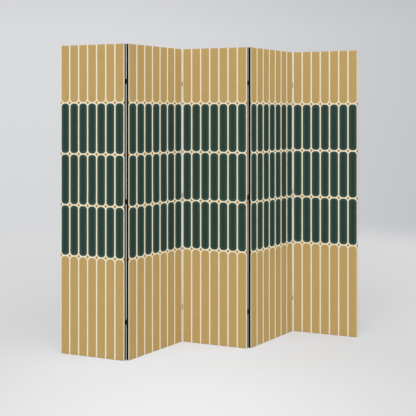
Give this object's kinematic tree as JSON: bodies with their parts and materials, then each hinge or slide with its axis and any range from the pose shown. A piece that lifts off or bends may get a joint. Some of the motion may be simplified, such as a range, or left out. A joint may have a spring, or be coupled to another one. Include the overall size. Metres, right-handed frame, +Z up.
{
  "type": "room divider",
  "caption": "Free-standing folding room divider: canvas panels with a rounded-tile print on timber frames, joined by black butt hinges in a zigzag.",
  "frame": {"origin": "on the floor, under the centre of the middle panel", "axes": "+Z up; the printed front faces -Y; +X along the screen, to the right seen from the front"},
  "size_m": [1.6132, 0.1947, 1.6],
  "materials": {
    "print_canvas": "matt printed polyester canvas: gold stripes and dark green tiles with cream lines, black edges",
    "back_lining": "matt black non-woven lining",
    "frame_timber": "planed softwood, unfinished",
    "hinge_black": "satin black plated steel",
    "screw_black": "black plated steel screws",
    "staple_wire": "galvanised flat wire"
  },
  "bodies": {
    "panel_1": {"panel_1_left_stile": "frame_timber", "panel_1_right_stile": "frame_timber", "panel_1_top_rail": "frame_timber", "panel_1_bottom_rail": "frame_timber", "panel_1_cross_bar": "frame_timber", "panel_1_print_canvas": "print_canvas", "panel_1_back_lining": "back_lining", "panel_1_staples": "staple_wire", "panel_1_hinge_screws": "screw_black", "hinge_1_left_leaves": "hinge_black", "hinge_1_pins": "hinge_black"},
    "panel_2": {"panel_2_left_stile": "frame_timber", "panel_2_right_stile": "frame_timber", "panel_2_top_rail": "frame_timber", "panel_2_bottom_rail": "frame_timber", "panel_2_cross_bar": "frame_timber", "panel_2_print_canvas": "print_canvas", "panel_2_back_lining": "back_lining", "panel_2_staples": "staple_wire", "panel_2_hinge_screws": "screw_black", "hinge_1_right_leaves": "hinge_black", "hinge_2_left_leaves": "hinge_black", "hinge_2_pins": "hinge_black"},
    "panel_3": {"panel_3_left_stile": "frame_timber", "panel_3_right_stile": "frame_timber", "panel_3_top_rail": "frame_timber", "panel_3_bottom_rail": "frame_timber", "panel_3_cross_bar": "frame_timber", "panel_3_print_canvas": "print_canvas", "panel_3_back_lining": "back_lining", "panel_3_staples": "staple_wire", "panel_3_hinge_screws": "screw_black", "hinge_2_right_leaves": "hinge_black", "hinge_3_left_leaves": "hinge_black", "hinge_3_pins": "hinge_black"},
    "panel_4": {"panel_4_left_stile": "frame_timber", "panel_4_right_stile": "frame_timber", "panel_4_top_rail": "frame_timber", "panel_4_bottom_rail": "frame_timber", "panel_4_cross_bar": "frame_timber", "panel_4_print_canvas": "print_canvas", "panel_4_back_lining": "back_lining", "panel_4_staples": "staple_wire", "panel_4_hinge_screws": "screw_black", "hinge_3_right_leaves": "hinge_black", "hinge_4_left_leaves": "hinge_black", "hinge_4_pins": "hinge_black"},
    "panel_5": {"panel_5_left_stile": "frame_timber", "panel_5_right_stile": "frame_timber", "panel_5_top_rail": "frame_timber", "panel_5_bottom_rail": "frame_timber", "panel_5_cross_bar": "frame_timber", "panel_5_print_canvas": "print_canvas", "panel_5_back_lining": "back_lining", "panel_5_staples": "staple_wire", "panel_5_hinge_screws": "screw_black", "hinge_4_right_leaves": "hinge_black"}
  },
  "joints": [
    {"name": "hinge_1_fold", "type": "hinge", "parent": "panel_2", "child": "panel_1", "pos_m": [-0.48488, -0.08165, 0.8], "axis": [0, 0, -1], "range_deg": [-60, 120]},
    {"name": "hinge_2_fold", "type": "hinge", "parent": "panel_3", "child": "panel_2", "pos_m": [-0.16163, 0.08165, 0.8], "axis": [0, 0, 1], "range_deg": [-60, 120]},
    {"name": "hinge_3_fold", "type": "hinge", "parent": "panel_3", "child": "panel_4", "pos_m": [0.16163, -0.08165, 0.8], "axis": [0, 0, 1], "range_deg": [-60, 120]},
    {"name": "hinge_4_fold", "type": "hinge", "parent": "panel_4", "child": "panel_5", "pos_m": [0.48488, 0.08165, 0.8], "axis": [0, 0, -1], "range_deg": [-60, 120]}
  ],
  "couplings": [
    {"joint": "hinge_3_fold", "follows": "hinge_2_fold", "ratio": 1}
  ]
}
